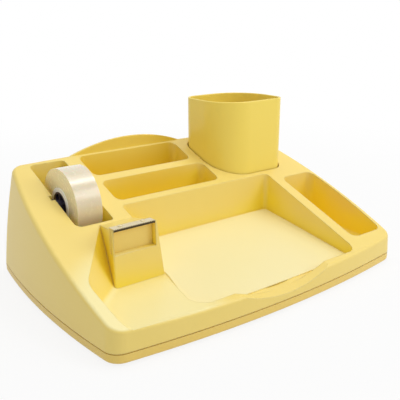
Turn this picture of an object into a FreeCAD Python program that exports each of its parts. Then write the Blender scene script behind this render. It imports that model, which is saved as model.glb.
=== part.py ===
import FreeCAD, Part
import math
import os

# Desk organiser with a tape dispenser. Millimetres, +Z up, -Y is the front.
# The origin is on the table, under the middle of the base.

V = FreeCAD.Vector

# ---- overall body ----
WIDTH = 338.0            # widest, at the seam
DEPTH = 236.0            # front of the bow to the back, at the seam
FOOT_DROP = 1.5          # how far the feet stand out below the base
BASE_HEIGHT = 9.0        # base plate, feet not counted
WALL = 2.5               # moulded wall
SEAM_GAP = 0.8           # height of the shadow line under the shell
SEAM_INSET = 1.2         # depth of the shadow line

# The lines that bound the body at the seam. Every other place is measured from these.
LEFT = -WIDTH / 2
RIGHT = WIDTH / 2
FRONT = -DEPTH / 2
BACK = DEPTH / 2

# The sides are arcs. Each corner is set in from the widest or deepest line.
FRONT_CORNER_BACK = 12.5
BACK_CORNER_FORWARD = 3.0
LEFT_FRONT_IN = 5.5
LEFT_BACK_IN = 12.0
RIGHT_FRONT_IN = 6.5
RIGHT_BACK_IN = 24.0
LEFT_WIDEST_BACK = 93.0  # from the front line to where the left side is widest
RIGHT_WIDEST_BACK = 88.0
CORNER_R = 14.0

# Walls lean in as they rise: a slope, plus a swell that curves them.
LEAN = {"left": 0.065, "right": 0.025, "front": 0.05, "back": 0.08}
SWELL = {"left": 0.0005, "right": 0.0001, "front": 0.0, "back": 0.0005}

# ---- deck: one plane that rises to the back ----
DECK_BACK_Z = 112.62     # height of the plane over the back line
DECK_SLOPE = 0.379       # rise per mm towards the back
DECK_EDGE_R = 3.5
DECK_BEND_R = 30.0       # where the slope starts, behind the front lip

# ---- crest behind the rear compartment ----
CREST_FROM_LEFT = 150.0  # to the crest's middle
CREST_HALF = 66.0
CREST_RISE = 12.5
CREST_FROM_BACK = 16.6
CREST_EDGE_R = 1.0

# ---- compartments: insets from the body's lines, and how deep each is front to back ----
DRAFT = 0.03
REAR_BOX = {"left": 90.0, "right": 132.0, "back": 19.2, "deep": 33.4, "r": 7.0}
MID_BOX = {"left": 91.0, "right": 125.0, "back": 61.6, "deep": 30.8, "r": 7.0}
BOX_FLOOR_Z = 42.0
BOX_FLOOR_R = 3.0

SIDE_BOX = {"right": 53.4, "front": 24.0, "back": 110.5, "r": 8.0}
SIDE_BOX_RIM = 5.5       # deck left between the side box and the outer wall
SIDE_BOX_FLOOR_Z = 15.0

# ---- tape well and reel ----
WELL = {"left": 38.0, "back": 20.5, "wide": 36.0, "deep": 93.5}
WELL_RADII = (6.0, 3.5, 3.5, 5.0)        # front left, front right, back right, back left
WELL_FLOOR_Z = 38.0
REEL_FROM_BACK = 71.0
REEL_Z = 77.0
AXLE_R = 3.0
AXLE_SEAT = 3.0          # how far each axle end sits in its slot
AXLE_END_GAP = 0.4
AXLE_SLOT_GAP = 0.1
AXLE_BORE_GAP = 0.06
AXLE_CHAMFER = 0.6
SLOT_BOSS = 6.0          # material around a slot
HUB_R = 12.6
HUB_RIM = 1.8
HUB_BOSS_R = 5.5
HUB_WEB = 3.0
HUB_SPOKES = 6
HUB_SPOKE = 1.4
HUB_END_GAP = 0.5
TAPE_WIDTH = 25.0
CORE_GAP = 0.05
CORE_R = 16.5
TAPE_R = 34.0
TAPE_END_IN = 0.4        # the core stands out past the wound tape
TAPE_EDGE_R = 0.4

# ---- tape block, in front of the well ----
BLOCK_BEHIND = 3.0       # deck between the block and the well
BLOCK_LENGTH = 42.5
BLOCK_LEAN = 2.0         # the front face leans back by this at its top
BLOCK_TOP_Z = 77.5
BLOCK_FROM_LEFT = 46.0
BLOCK_WIDTH = 43.9       # at its top
BLOCK_BACK_IN = 12.0     # the left side runs in by this towards the back
BLOCK_FOOT_OUT = 6.0     # the right side runs out by this towards the foot
BLOCK_EDGE_R = 1.2
RECESS_BACK_IN = 11.5    # from the left line to the low deck's back corner
RECESS_FRONT_IN = 13.5
RECESS_FORWARD = 0.5     # the back corner lies this far in front of the block's face
RECESS_CORNER_R = 14.0
RECESS_FOOT_R = 7.0
RECESS_DRAFT = 0.12
RECESS_BACK_DRAFT = 0.55

# ---- tray ----
TRAY = {"right": 66.4, "front": 10.0, "back": 100.4, "front_left": 79.0}
TRAY_Z = 35.6            # floor height at the tray's back wall
TRAY_SLOPE = 0.15
TRAY_R = 5.0
TRAY_FRONT_R = 10.0
TRAY_FRONT_LEFT_R = 16.0
TRAY_SIDE_R = 60.0       # the slight bend in the left wall at the block
TRAY_FLOOR_R = 1.0
SCOOP_FROM_LEFT = 172.0  # to the scoop's middle
SCOOP_HALF = 53.0
SCOOP_DEPTH = 10.5       # below the front lip
MAT_THICK = 0.8
MAT_GAP = 1.5
MAT_FRONT_GAP = 6.5
MAT_LEFT_GAP = 2.0       # more room at the front, where the tray's wall slopes in
MAT_CORNER_R = 3.0

# ---- blade and its carrier ----
SLOT_SIDE = {"left": 1.9, "right": 1.6}
SLOT_HEIGHT = 22.2
SLOT_DEPTH = 7.5
CARRIER_THICK = 2.6
CARRIER_GAP = 0.25
CARRIER_LEDGE = 2.2
BLADE_THICK = 0.5
BLADE_FLANGE = 5.0
BLADE_PROUD = 0.4        # the blade stands this much above the block
BLADE_LIP = 2.4          # the blade's front edge is folded down by this
TEETH = 24
TOOTH_DEPTH = 1.1
RIVET_R = 1.3
RIVET_PITCH = 22.0
RIVET_DEPTH = 1.6
RIVET_HEAD_R = 2.0
RIVET_HEAD = 0.7

# ---- pencil cup ----
CUP = {"right": 34.6, "back": 22.0, "wide": 85.4, "deep": 71.5}
CUP_RADII = (12.0, 44.0, 15.0, 36.0)   # front right, back right, back left, front left
CUP_TOP_Z = 154.0
CUP_FLOOR_Z = 56.0
CUP_WALL = 2.2
CUP_TAPER = 0.002
CUP_GAP = 0.9
CUP_EDGE_R = 0.8
CUP_FOOT_R = 2.0

# ---- base plate, ballast, feet and screws ----
BASE_FLOOR = 2.5
BASE_EDGE_R = 3.0
TONGUE = 1.6             # rib that centres the base in the shell
TONGUE_GAP = 0.3
TONGUE_RISE = 1.5
BALLAST = {"x": -19.0, "y": -30.0, "w": 150.0, "d": 70.0, "h": 5.0, "end": 15.0}
BALLAST_R = 4.0
BALLAST_SCREW_R = 1.25
BALLAST_HEAD_R = 5.5
POST_R = 3.5
FOOT_R = 8.0
FOOT_SEAT = 1.3
FOOT_GAP = 0.15
FOOT_EDGE_R = 0.8
FOOT_IN = {"side": 41.0, "front": 34.0, "back": 28.0}
SCREW_R = 1.5
SCREW_HEAD_R = 3.2
SCREW_HEAD = 2.0
SCREW_LENGTH = 12.0
SCREW_GAP = 0.3
SCREW_TOP_GAP = 2.0
SCREW_HEAD_DEPTH = 2.4   # the seat of a screw's head, above the base's underside
SCREW_DRIVE = 0.8
SCREW_IN = {"left": 24.0, "right": 28.0, "front": 48.0, "right_front": 58.0, "back": 58.0}
SCREW_FROM_WELL = 6.0    # the screw beside the well, behind the well's front wall
SCREW_FROM_CUP = 3.0     # the screw in the middle, to the left of the cup
PILOT_GAP = 0.05
BOSS_R = 4.5

# ---- places that follow from the sizes above ----
BASE_Z = FOOT_DROP
SEAM_Z = FOOT_DROP + BASE_HEIGHT
SCREW_SEAT_Z = FOOT_DROP + SCREW_HEAD_DEPTH
WELL_X0 = LEFT + WELL["left"]
WELL_X1 = WELL_X0 + WELL["wide"]
WELL_Y1 = BACK - WELL["back"]
WELL_Y0 = WELL_Y1 - WELL["deep"]
REEL_Y = BACK - REEL_FROM_BACK
BLOCK_BACK_Y = WELL_Y0 - BLOCK_BEHIND
BLOCK_FRONT_Y = BLOCK_BACK_Y - BLOCK_LENGTH
BLOCK_LEFT_X = LEFT + BLOCK_FROM_LEFT
BLOCK_BACK_LEFT_X = BLOCK_LEFT_X + BLOCK_BACK_IN
BLOCK_RIGHT_X = BLOCK_LEFT_X + BLOCK_WIDTH
BLOCK_RIGHT_FOOT_X = BLOCK_RIGHT_X + BLOCK_FOOT_OUT
TRAY_FRONT_X0 = LEFT + TRAY["front_left"]
TRAY_X1 = RIGHT - TRAY["right"]
TRAY_Y0 = FRONT + TRAY["front"]
TRAY_Y1 = BACK - TRAY["back"]
SIDE_BOX_X0 = RIGHT - SIDE_BOX["right"]
SLOT_X0 = BLOCK_LEFT_X + SLOT_SIDE["left"]
SLOT_X1 = BLOCK_RIGHT_X - SLOT_SIDE["right"]
SLOT_Z0 = BLOCK_TOP_Z - SLOT_HEIGHT
CUP_X1 = RIGHT - CUP["right"]
CUP_X0 = CUP_X1 - CUP["wide"]
CUP_Y1 = BACK - CUP["back"]
CUP_Y0 = CUP_Y1 - CUP["deep"]
TALL = 140.0             # above everything that is moulded
FAR = 400.0


# ---- small builders ----
def save(name, shape):
    shape.exportStep("parts/" + name + ".step")


def deck_z(y):
    return DECK_BACK_Z + DECK_SLOPE * (y - BACK)


def tray_z(y):
    return TRAY_Z + TRAY_SLOPE * (y - TRAY_Y1)


def prism_x(points, x0, x1):
    """Solid with the outline of (y, z) points, from x0 to x1."""
    wire = Part.makePolygon([V(x0, y, z) for y, z in points + points[:1]])
    return Part.Face(wire).extrude(V(x1 - x0, 0, 0))


def prism_z(points, z0, z1):
    """Solid with the outline of (x, y) points, from z0 to z1."""
    wire = Part.makePolygon([V(x, y, z0) for x, y in points + points[:1]])
    return Part.Face(wire).extrude(V(0, 0, z1 - z0))


def box(x0, y0, z0, x1, y1, z1):
    return Part.makeBox(x1 - x0, y1 - y0, z1 - z0, V(x0, y0, z0))


def rod_x(r, x0, x1, y, z):
    return Part.makeCylinder(r, x1 - x0, V(x0, y, z), V(1, 0, 0))


def rod_z(r, z0, z1, x, y):
    return Part.makeCylinder(r, z1 - z0, V(x, y, z0), V(0, 0, 1))


def fuse_all(shapes):
    result = shapes[0]
    for shape in shapes[1:]:
        result = result.fuse(shape)
    return result


def pushed_out(points, steps):
    """Outline with each edge moved out by its own step. Points run anticlockwise."""
    lines = []
    for i, (a, b) in enumerate(zip(points, points[1:] + points[:1])):
        dx, dy = b[0] - a[0], b[1] - a[1]
        length = math.hypot(dx, dy)
        nx, ny = dy / length, -dx / length
        lines.append((nx, ny, nx * a[0] + ny * a[1] + steps[i]))
    result = []
    for (ax, ay, ac), (bx, by, bc) in zip(lines[-1:] + lines[:-1], lines):
        det = ax * by - ay * bx
        result.append(((ac * by - ay * bc) / det, (ax * bc - ac * bx) / det))
    return result


def rounded_wire(points, radii, z):
    """Closed wire of straight runs joined by arcs, at height z."""
    edges = []
    last = None
    first = None
    count = len(points)
    for i in range(count):
        p = V(points[i][0], points[i][1], z)
        before = V(points[i - 1][0], points[i - 1][1], z) - p
        after = V(points[(i + 1) % count][0], points[(i + 1) % count][1], z) - p
        half = before.getAngle(after) / 2
        before.normalize()
        after.normalize()
        reach = radii[i] / math.tan(half)
        start = p + before * reach
        end = p + after * reach
        bisector = (before + after).normalize()
        middle = p + bisector * (radii[i] / math.sin(half) - radii[i])
        if last is not None:
            edges.append(Part.LineSegment(last, start).toShape())
        else:
            first = start
        edges.append(Part.Arc(start, middle, end).toShape())
        last = end
    edges.append(Part.LineSegment(last, first).toShape())
    return Part.Wire(edges)


def pocket(points, radii, z_ref, z0, z1, drafts, grow=0.0):
    """Tapered solid for a hollow. Its outline is true at z_ref."""
    wires = []
    for z in (z0, z1):
        steps = [grow + draft * (z - z_ref) for draft in drafts]
        rs = [r + grow for r in radii]
        wires.append(rounded_wire(pushed_out(points, steps), rs, z))
    return Part.makeLoft(wires, True, True)


def edges_where(shape, test):
    return [edge for edge in shape.Edges if test(edge)]


def flat_at(z):
    """Test for edges that lie at height z."""
    return lambda e: abs(e.BoundBox.ZMin - z) < 1e-3 and abs(e.BoundBox.ZMax - z) < 1e-3


def lip_z():
    """Height of the level deck in front of the block."""
    return tray_z(BLOCK_FRONT_Y)


# ---- outer form ----
def body_wire(z, inset):
    """Outline of the moulded body at height z: four arcs that meet at sharp corners."""
    h = max(z - SEAM_Z, 0.0)
    step = {side: LEAN[side] * h + SWELL[side] * h * h + inset for side in LEAN}
    left = LEFT + step["left"]
    right = RIGHT - step["right"]
    front = FRONT + step["front"]
    back = BACK - step["back"]
    fl = V(left + LEFT_FRONT_IN, front + FRONT_CORNER_BACK, z)
    fr = V(right - RIGHT_FRONT_IN, front + FRONT_CORNER_BACK, z)
    br = V(right - RIGHT_BACK_IN, back - BACK_CORNER_FORWARD, z)
    bl = V(left + LEFT_BACK_IN, back - BACK_CORNER_FORWARD, z)
    middle = (left + right) / 2
    sides = [
        (fl, V(middle, front, z), fr),
        (fr, V(right, FRONT + RIGHT_WIDEST_BACK, z), br),
        (br, V(middle, back, z), bl),
        (bl, V(left, FRONT + LEFT_WIDEST_BACK, z), fl),
    ]
    return Part.Wire([Part.Arc(*side).toShape() for side in sides])


def body_form(inset, z0, z1):
    """Leaning, swelling body with rounded corners, between two heights."""
    heights = [z0, (z0 + z1) / 2, z1]
    form = Part.makeLoft([body_wire(z, inset) for z in heights], True, False)
    corners = edges_where(form, lambda e: e.BoundBox.ZLength > (z1 - z0) * 0.9)
    return form.makeFillet(CORNER_R - inset, corners)


def above_deck(drop):
    """Everything above the deck lowered by drop: a level lip in front, then the slope."""
    bend_y = BACK + (lip_z() - DECK_BACK_Z) / DECK_SLOPE
    profile = [
        (-FAR, lip_z() - drop),
        (bend_y, lip_z() - drop),
        (FAR, deck_z(FAR) - drop),
        (FAR, 2 * FAR),
        (-FAR, 2 * FAR),
    ]
    solid = prism_x(profile, -FAR, FAR)
    level = edges_where(solid, flat_at(lip_z() - drop))
    bend = [edge for edge in level if abs(edge.CenterOfMass.y - bend_y) < 1e-3]
    return solid.makeFillet(DECK_BEND_R, bend)


def crest():
    """Low arch that stands on the back wall and ends in its outer face."""
    x = LEFT + CREST_FROM_LEFT
    y = BACK - CREST_FROM_BACK
    base_z = deck_z(y)
    left = V(x - CREST_HALF, y, base_z)
    right = V(x + CREST_HALF, y, base_z)
    top = V(x, y, base_z + CREST_RISE)
    down = V(0, 0, -WALL * 2)
    arch = Part.Arc(left, top, right).toShape()
    foot = Part.makePolygon([right, right + down, left + down, left])
    face = Part.Face(Part.Wire([arch] + foot.Edges))
    solid = face.extrude(V(0, FAR, 0)).common(body_form(0.0, SEAM_Z, TALL))
    high = edges_where(solid, lambda e: e.BoundBox.ZMax > base_z + CREST_RISE / 2)
    return solid.makeFillet(CREST_EDGE_R, high)


def block_top_front_y():
    return BLOCK_FRONT_Y + BLOCK_LEAN


def block_nose(inset):
    """Raised nose of the tape block, before its front and right faces are cut."""
    side = [
        (BLOCK_BACK_Y, deck_z(BLOCK_BACK_Y)),
        (block_top_front_y(), BLOCK_TOP_Z),
        (BLOCK_FRONT_Y, BLOCK_TOP_Z),
        (BLOCK_FRONT_Y, SEAM_Z),
        (BLOCK_BACK_Y, SEAM_Z),
    ]
    plan = [
        (BLOCK_LEFT_X, BLOCK_FRONT_Y),
        (BLOCK_RIGHT_FOOT_X, BLOCK_FRONT_Y),
        (BLOCK_RIGHT_FOOT_X, BLOCK_BACK_Y),
        (BLOCK_BACK_LEFT_X, BLOCK_BACK_Y),
    ]
    profile = pushed_out(side, [-inset, -inset, -inset, 0.0, 0.0])
    outline = pushed_out(plan, [-inset, -inset, 0.0, -inset])
    return prism_x(profile, -FAR, FAR).common(prism_z(outline, SEAM_Z, TALL))


def block_stand(grow):
    """What the low deck leaves standing: the block and all that lies behind it."""
    run = (BLOCK_BACK_LEFT_X - BLOCK_LEFT_X) / (BLOCK_BACK_Y - BLOCK_FRONT_Y)
    far_y = WELL_Y1
    plan = [
        (BLOCK_LEFT_X, BLOCK_FRONT_Y),
        (RIGHT, BLOCK_FRONT_Y),
        (RIGHT, far_y),
        (BLOCK_LEFT_X + run * (far_y - BLOCK_FRONT_Y), far_y),
    ]
    lean = BLOCK_LEAN / (BLOCK_TOP_Z - lip_z())
    outline = pushed_out(plan, [-grow] * 4)
    return pocket(outline, [BLOCK_EDGE_R] * 4, lip_z(), SEAM_Z, TALL, [-lean, 0.0, 0.0, 0.0])


# ---- hollows: each is a solid that is cut away ----
def box_lines(size):
    """Left, front, right and back lines of one of the two wide compartments."""
    y1 = BACK - size["back"]
    return LEFT + size["left"], y1 - size["deep"], RIGHT - size["right"], y1


def box_pocket(size, grow=0.0):
    """One of the two wide compartments."""
    x0, y0, x1, y1 = box_lines(size)
    points = [(x0, y0), (x1, y0), (x1, y1), (x0, y1)]
    z_ref = deck_z((y0 + y1) / 2)
    z0 = BOX_FLOOR_Z - grow
    solid = pocket(points, [size["r"]] * 4, z_ref, z0, TALL, [DRAFT] * 4, grow)
    return solid.makeFillet(BOX_FLOOR_R + grow, edges_where(solid, flat_at(z0)))


def side_pocket(grow=0.0):
    """Long compartment on the right. Its right wall follows the body's side."""
    z0 = SIDE_BOX_FLOOR_Z - grow
    x0 = SIDE_BOX_X0 - grow
    y0 = FRONT + SIDE_BOX["front"] - grow
    y1 = BACK - SIDE_BOX["back"] + grow
    plan = [(x0, y0), (FAR, y0), (FAR, y1), (x0, y1)]
    solid = prism_z(plan, z0, TALL).common(body_form(SIDE_BOX_RIM - grow, SEAM_Z, TALL))
    upright = edges_where(solid, lambda e: e.BoundBox.ZLength > (TALL - z0) * 0.9)
    solid = solid.makeFillet(SIDE_BOX["r"] + grow, upright)
    return solid.makeFillet(BOX_FLOOR_R + grow, edges_where(solid, flat_at(z0)))


def well_pocket(grow=0.0):
    """Well that the tape roll hangs in."""
    points = [(WELL_X0, WELL_Y0), (WELL_X1, WELL_Y0), (WELL_X1, WELL_Y1), (WELL_X0, WELL_Y1)]
    z0 = WELL_FLOOR_Z - grow
    solid = pocket(points, list(WELL_RADII), REEL_Z, z0, TALL, [0.0] * 4, grow)
    return solid.makeFillet(BOX_FLOOR_R + grow, edges_where(solid, flat_at(z0)))


def axle_slots():
    """Two slots, open at the top, in the side walls of the well."""
    x0 = WELL_X0 - AXLE_SEAT - AXLE_END_GAP
    x1 = WELL_X1 + AXLE_SEAT + AXLE_END_GAP
    r = AXLE_R + AXLE_SLOT_GAP
    round_end = rod_x(r, x0, x1, REEL_Y, REEL_Z)
    return round_end.fuse(box(x0, REEL_Y - r, REEL_Z, x1, REEL_Y + r, TALL))


def slot_bosses():
    """Thick places in the well's walls around the slots."""
    y0, y1 = REEL_Y - SLOT_BOSS - AXLE_R, REEL_Y + SLOT_BOSS + AXLE_R
    z0 = REEL_Z - SLOT_BOSS - AXLE_R
    deep = AXLE_SEAT + AXLE_END_GAP + WALL
    left = box(WELL_X0 - deep, y0, z0, WELL_X0 + WALL, y1, TALL)
    right = box(WELL_X1 - WALL, y0, z0, WELL_X1 + deep, y1, TALL)
    return left.fuse(right)


def cup_outline():
    """Corners of the pencil cup, anticlockwise from the front right."""
    return [(CUP_X1, CUP_Y0), (CUP_X1, CUP_Y1), (CUP_X0, CUP_Y1), (CUP_X0, CUP_Y0)]


def socket_pocket(grow=0.0):
    """Socket in the deck that the cup stands in."""
    z0 = CUP_FLOOR_Z - grow
    gap = CUP_GAP + grow
    radii = list(CUP_RADII)
    return pocket(cup_outline(), radii, CUP_TOP_Z, z0, TALL, [0.0] * 4, gap)


def tray_pocket(grow=0.0):
    """Paper tray. Its floor slopes down to the front, and its left wall is the block's side."""
    side_draft = (BLOCK_RIGHT_FOOT_X - BLOCK_RIGHT_X) / (BLOCK_TOP_Z - tray_z(BLOCK_FRONT_Y))
    points = [
        (TRAY_X1, TRAY_Y0),
        (TRAY_X1, TRAY_Y1),
        (BLOCK_RIGHT_FOOT_X, TRAY_Y1),
        (BLOCK_RIGHT_FOOT_X, BLOCK_FRONT_Y),
        (TRAY_FRONT_X0, TRAY_Y0),
    ]
    radii = [TRAY_FRONT_R, TRAY_R, TRAY_R, TRAY_SIDE_R, TRAY_FRONT_LEFT_R]
    drafts = [DRAFT, DRAFT, side_draft, side_draft, DRAFT]
    walls = pocket(points, radii, tray_z(BLOCK_FRONT_Y), 0.0, TALL, drafts, grow)
    y = FAR
    under = prism_x([(-y, tray_z(-y) - grow), (y, tray_z(y) - grow), (y, -FAR), (-y, -FAR)], -FAR, FAR)
    solid = walls.cut(under)

    def on_floor(edge):
        middle = edge.valueAt((edge.FirstParameter + edge.LastParameter) / 2)
        ends = [v.Point for v in edge.Vertexes] + [middle]
        return all(abs(p.z - tray_z(p.y) + grow) < 0.02 for p in ends)

    return solid.makeFillet(TRAY_FLOOR_R + grow, edges_where(solid, on_floor))


def recess_pocket(grow=0.0):
    """Low deck in front of the block, open to the front."""
    z0 = lip_z() - grow
    beyond = FRONT - CORNER_R
    corner_x = LEFT + RECESS_BACK_IN
    corner_y = BLOCK_FRONT_Y - RECESS_FORWARD
    slope = (BLOCK_BACK_Y - corner_y) / (BLOCK_BACK_LEFT_X - corner_x)
    right = BLOCK_RIGHT_FOOT_X + 2 * WALL
    points = [
        (right, beyond),
        (right, BLOCK_BACK_Y + slope * (right - BLOCK_BACK_LEFT_X)),
        (corner_x, corner_y),
        (LEFT + RECESS_FRONT_IN, beyond),
    ]
    drafts = [0.0, RECESS_BACK_DRAFT, RECESS_DRAFT, 0.0]
    radii = [CORNER_R, CORNER_R, RECESS_CORNER_R, CORNER_R]
    solid = pocket(points, radii, deck_z(BLOCK_BACK_Y), z0, TALL, drafts, grow)
    solid = solid.makeFillet(RECESS_FOOT_R + grow, edges_where(solid, flat_at(z0)))
    return solid.cut(block_stand(grow))


def scoop(grow=0.0):
    """Shallow finger scoop across the front lip. It runs down from the tray's floor."""
    r = (SCOOP_HALF ** 2 + SCOOP_DEPTH ** 2) / (2 * SCOOP_DEPTH)
    front_z = lip_z() - SCOOP_DEPTH
    slope = (tray_z(TRAY_Y0) - front_z) / (TRAY_Y0 - FRONT)
    end_y = TRAY_Y0 + TRAY_FLOOR_R
    start = V(LEFT + SCOOP_FROM_LEFT, 2 * FRONT, front_z + slope * FRONT + r)
    along = V(0, 1, slope)
    return Part.makeCylinder(r + grow, (end_y - 2 * FRONT) * along.Length, start, along)


def slot_back_y():
    return block_top_front_y() + SLOT_DEPTH


def blade_slot():
    """Slot in the block's front for the blade carrier, open in front and on top."""
    return box(SLOT_X0, BLOCK_FRONT_Y - WALL, SLOT_Z0, SLOT_X1, slot_back_y(), TALL)


# ---- top shell ----
def outer_body():
    """Body with its soft upper edge, the block's nose and the crest."""
    body = body_form(0.0, SEAM_Z, TALL).cut(above_deck(0.0))
    rim = edges_where(body, lambda e: e.BoundBox.ZMin > lip_z() - DECK_EDGE_R / 2)
    body = body.makeFillet(DECK_EDGE_R, rim)
    return body.fuse(block_nose(0.0)).fuse(crest())


def pockets(grow):
    """Every hollow in the shell, grown by a wall for the inside or by nothing."""
    return [
        box_pocket(REAR_BOX, grow),
        box_pocket(MID_BOX, grow),
        side_pocket(grow),
        well_pocket(grow),
        socket_pocket(grow),
        tray_pocket(grow),
        recess_pocket(grow),
    ]


def screw_points():
    """Three screws near the sides' ends, and three in the walls between compartments."""
    mid_x0, mid_y0, _, _ = box_lines(MID_BOX)
    return [
        (LEFT + SCREW_IN["left"], FRONT + SCREW_IN["front"]),
        (LEFT + SCREW_IN["left"], BACK - SCREW_IN["back"]),
        (RIGHT - SCREW_IN["right"], BACK - SCREW_IN["back"]),
        ((TRAY_X1 + SIDE_BOX_X0) / 2, FRONT + SCREW_IN["right_front"]),
        ((WELL_X1 + mid_x0) / 2, WELL_Y0 + SCREW_FROM_WELL),
        (CUP_X0 - SCREW_FROM_CUP, (TRAY_Y1 + mid_y0) / 2),
    ]


def screw_boss(x, y):
    return rod_z(BOSS_R, SEAM_Z, TALL, x, y)


def inner_void():
    """Space under the shell, open at the bottom."""
    void = body_form(WALL, SEAM_Z - WALL, TALL).cut(above_deck(WALL))
    nose = block_nose(WALL).cut(box(-FAR, -FAR, 0, FAR, slot_back_y() + WALL, TALL))
    void = void.fuse(nose)
    for solid in pockets(WALL) + [scoop(WALL), slot_bosses()]:
        void = void.cut(solid)
    for x, y in screw_points():
        void = void.cut(screw_boss(x, y))
    return void


def pilot_holes():
    top = SCREW_SEAT_Z + SCREW_LENGTH + SCREW_TOP_GAP
    return [rod_z(SCREW_R + PILOT_GAP, SEAM_Z - WALL, top, x, y) for x, y in screw_points()]


def top_shell():
    shell = outer_body().cut(inner_void())
    for solid in pockets(0.0) + [axle_slots(), scoop(), blade_slot()] + pilot_holes():
        shell = shell.cut(solid)
    return shell


# ---- base plate, ballast, screws and feet ----
def base_form(z0, z1):
    """Base body with a soft lower edge."""
    form = body_form(0.0, z0, z1)
    return form.makeFillet(BASE_EDGE_R, edges_where(form, flat_at(z0)))


def ballast_post_points():
    half = BALLAST["w"] / 2 - BALLAST["end"]
    return [(BALLAST["x"] - half, BALLAST["y"]), (BALLAST["x"] + half, BALLAST["y"])]


def base_plate():
    groove_z = SEAM_Z - SEAM_GAP
    floor = BASE_Z + BASE_FLOOR
    tongue_top = SEAM_Z + TONGUE_RISE
    tongue_inset = WALL + TONGUE_GAP
    land = body_form(SEAM_INSET, floor, SEAM_Z)
    tongue = body_form(tongue_inset, floor, tongue_top)
    base = fuse_all([base_form(BASE_Z, groove_z), land, tongue])
    base = base.cut(body_form(tongue_inset + TONGUE, floor, tongue_top))
    posts = [rod_z(BOSS_R, BASE_Z, SEAM_Z, x, y) for x, y in screw_points()]
    posts += [rod_z(POST_R, BASE_Z, floor + BALLAST["h"], x, y) for x, y in ballast_post_points()]
    base = fuse_all([base] + posts)
    for x, y in screw_points():
        base = base.cut(rod_z(SCREW_HEAD_R + SCREW_GAP, 0, SCREW_SEAT_Z, x, y))
        base = base.cut(rod_z(SCREW_R + SCREW_GAP, 0, SEAM_Z + 1, x, y))
    for x, y in ballast_post_points():
        base = base.cut(rod_z(BALLAST_SCREW_R + PILOT_GAP, floor, TALL, x, y))
    for x, y in foot_points():
        base = base.cut(rod_z(FOOT_R + FOOT_GAP, 0, BASE_Z + FOOT_SEAT, x, y))
    return base


def foot_points():
    sides = (LEFT + FOOT_IN["side"], RIGHT - FOOT_IN["side"])
    ends = (FRONT + FOOT_IN["front"], BACK - FOOT_IN["back"])
    return [(x, y) for x in sides for y in ends]


def foot(x, y):
    top = BASE_Z + FOOT_SEAT
    pad = rod_z(FOOT_R, 0, top, x, y)
    return pad.makeFillet(FOOT_EDGE_R, edges_where(pad, flat_at(0)))


def screw(x, y, r, head_r, head, length, seat_z, up):
    """Pan head screw. Its head lies against seat_z and its shank points up or down."""
    cap = Part.makeCylinder(head_r, head, V(x, y, seat_z), V(0, 0, -up))
    cap = cap.makeFillet(head / 3, edges_where(cap, flat_at(seat_z - up * head)))
    shank = Part.makeCylinder(r, length, V(x, y, seat_z), V(0, 0, up))
    tip = edges_where(shank, flat_at(seat_z + up * length))
    shank = shank.makeChamfer(r / 2, tip)
    face_z = seat_z - up * head
    drive = box(-head_r * 0.6, -SCREW_DRIVE / 2, 0, head_r * 0.6, SCREW_DRIVE / 2, head * 0.6)
    cross = drive.fuse(box(-SCREW_DRIVE / 2, -head_r * 0.6, 0, SCREW_DRIVE / 2, head_r * 0.6, head * 0.6))
    if up < 0:
        cross.translate(V(0, 0, -head * 0.6))
    cross.translate(V(x, y, face_z))
    return cap.fuse(shank).cut(cross)


def base_screws():
    solids = []
    for x, y in screw_points():
        solids.append(screw(x, y, SCREW_R, SCREW_HEAD_R, SCREW_HEAD, SCREW_LENGTH, SCREW_SEAT_Z, 1))
    return Part.makeCompound(solids)


def ballast_top():
    return BASE_Z + BASE_FLOOR + BALLAST["h"]


def ballast_plate():
    w, d = BALLAST["w"] / 2, BALLAST["d"] / 2
    x, y = BALLAST["x"], BALLAST["y"]
    plate = box(x - w, y - d, BASE_Z + BASE_FLOOR, x + w, y + d, ballast_top())
    upright = edges_where(plate, lambda e: e.BoundBox.ZLength > BALLAST["h"] * 0.9)
    plate = plate.makeFillet(BALLAST_R, upright)
    for px, py in ballast_post_points():
        plate = plate.cut(rod_z(POST_R + SCREW_GAP, 0, TALL, px, py))
    return plate


def ballast_screws():
    solids = []
    for x, y in ballast_post_points():
        solids.append(
            screw(x, y, BALLAST_SCREW_R, BALLAST_HEAD_R, SCREW_HEAD, BALLAST["h"] - 1, ballast_top(), -1)
        )
    return Part.makeCompound(solids)


# ---- pencil cup ----
def cup_solid(z0, z1, grow):
    radii = [r + grow for r in CUP_RADII]
    wires = []
    for z in (z0, z1):
        step = grow + CUP_TAPER * (z - CUP_TOP_Z)
        wires.append(rounded_wire(pushed_out(cup_outline(), [step] * 4), radii, z))
    return Part.makeLoft(wires, True, True)


def pencil_cup():
    outer = cup_solid(CUP_FLOOR_Z, CUP_TOP_Z, 0.0)
    outer = outer.makeFillet(CUP_FOOT_R, edges_where(outer, flat_at(CUP_FLOOR_Z)))
    floor = CUP_FLOOR_Z + CUP_WALL
    inner = cup_solid(floor, CUP_TOP_Z, -CUP_WALL)
    inner = inner.makeFillet(CUP_FOOT_R, edges_where(inner, flat_at(floor)))
    cup = outer.cut(inner)
    return cup.makeFillet(CUP_EDGE_R, edges_where(cup, flat_at(CUP_TOP_Z)))


# ---- tape reel ----
def roll_x0():
    return (WELL_X0 + WELL_X1 - TAPE_WIDTH) / 2


def ring_x(outer, inner, x0, x1):
    return rod_x(outer, x0, x1, REEL_Y, REEL_Z).cut(rod_x(inner, x0, x1, REEL_Y, REEL_Z))


def reel_axle():
    rod = rod_x(AXLE_R, WELL_X0 - AXLE_SEAT, WELL_X1 + AXLE_SEAT, REEL_Y, REEL_Z)
    return rod.makeChamfer(AXLE_CHAMFER, edges_where(rod, lambda e: e.BoundBox.XLength < 1e-3))


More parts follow.
